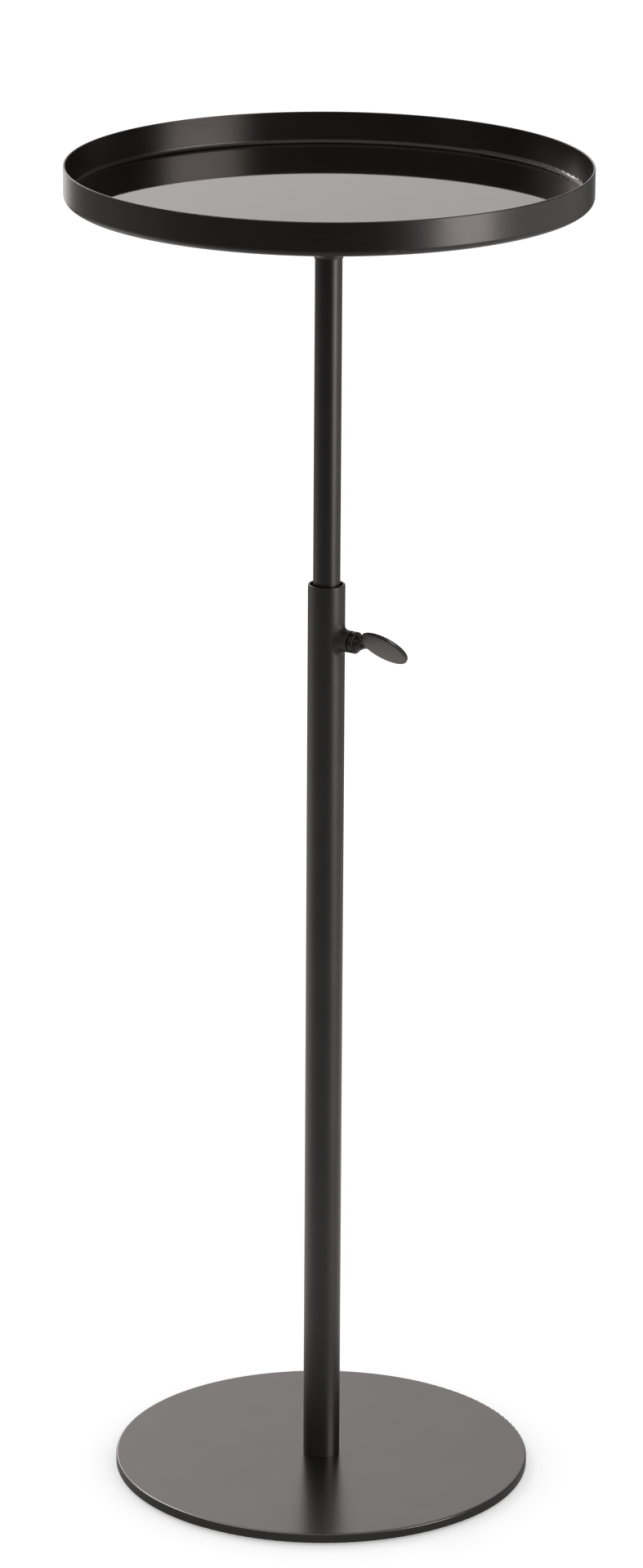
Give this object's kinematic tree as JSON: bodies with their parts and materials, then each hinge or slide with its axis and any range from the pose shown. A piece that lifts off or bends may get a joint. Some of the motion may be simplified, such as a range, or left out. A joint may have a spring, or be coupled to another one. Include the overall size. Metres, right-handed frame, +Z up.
{
  "type": "wine table",
  "caption": "Small round tray table: a rimmed metal tray on a telescopic column, height set by a side thumb screw with an oval paddle, over a flat disc base.",
  "frame": {"origin": "on the floor, under the middle of the disc base", "axes": "+Z up along the column, +X along the clamp screw, pointing out of the column"},
  "size_m": [0.305, 0.305, 0.8057],
  "materials": {
    "base_metal": "satin dark nickel",
    "outer_tube_metal": "satin dark nickel",
    "inner_tube_metal": "satin dark nickel",
    "paddle_metal": "satin dark nickel",
    "hub_metal": "satin dark nickel on a casting",
    "tray_metal": "dark nickel, polished floor and brushed rim",
    "fastener_steel": "black oxide",
    "insert_steel": "plain turned steel",
    "grip_brass": "turned brass",
    "bush_nylon": "moulded black nylon",
    "pad_felt": "pressed black felt"
  },
  "bodies": {
    "stand": {"base_plate": "base_metal", "floor_pads": "pad_felt", "base_screw": "fastener_steel", "foot_insert": "insert_steel", "outer_tube": "outer_tube_metal", "upper_bush": "bush_nylon", "screw_boss": "outer_tube_metal"},
    "guide": {"lower_bush": "bush_nylon"},
    "top": {"inner_tube": "inner_tube_metal", "end_plug": "bush_nylon", "retaining_ring": "insert_steel", "tray_hub": "hub_metal", "hub_screw": "fastener_steel", "tray_studs": "fastener_steel", "stud_washers": "fastener_steel", "stud_nuts": "fastener_steel", "tray_pan": "tray_metal"},
    "grip": {"grip_pad": "grip_brass"},
    "clamp": {"clamp_stud": "fastener_steel", "thumb_paddle": "paddle_metal"}
  },
  "joints": [
    {"name": "column_slide", "type": "slide", "parent": "stand", "child": "guide", "axis": [0, 0, 1], "range_m": [-0.197, 0.105]},
    {"name": "tray_swivel", "type": "hinge", "parent": "guide", "child": "top", "pos_m": [0, 0, 0.39], "axis": [0, 0, 1], "continuous": true},
    {"name": "screw_advance", "type": "slide", "parent": "stand", "child": "grip", "axis": [1, 0, 0], "range_m": [0, 0.002]},
    {"name": "screw_turn", "type": "hinge", "parent": "grip", "child": "clamp", "pos_m": [0.015, 0, 0.524], "axis": [1, 0, 0], "range_deg": [0, 720]}
  ],
  "couplings": [
    {"joint": "screw_turn", "follows": "screw_advance", "rad_per_m": 6283.2}
  ]
}
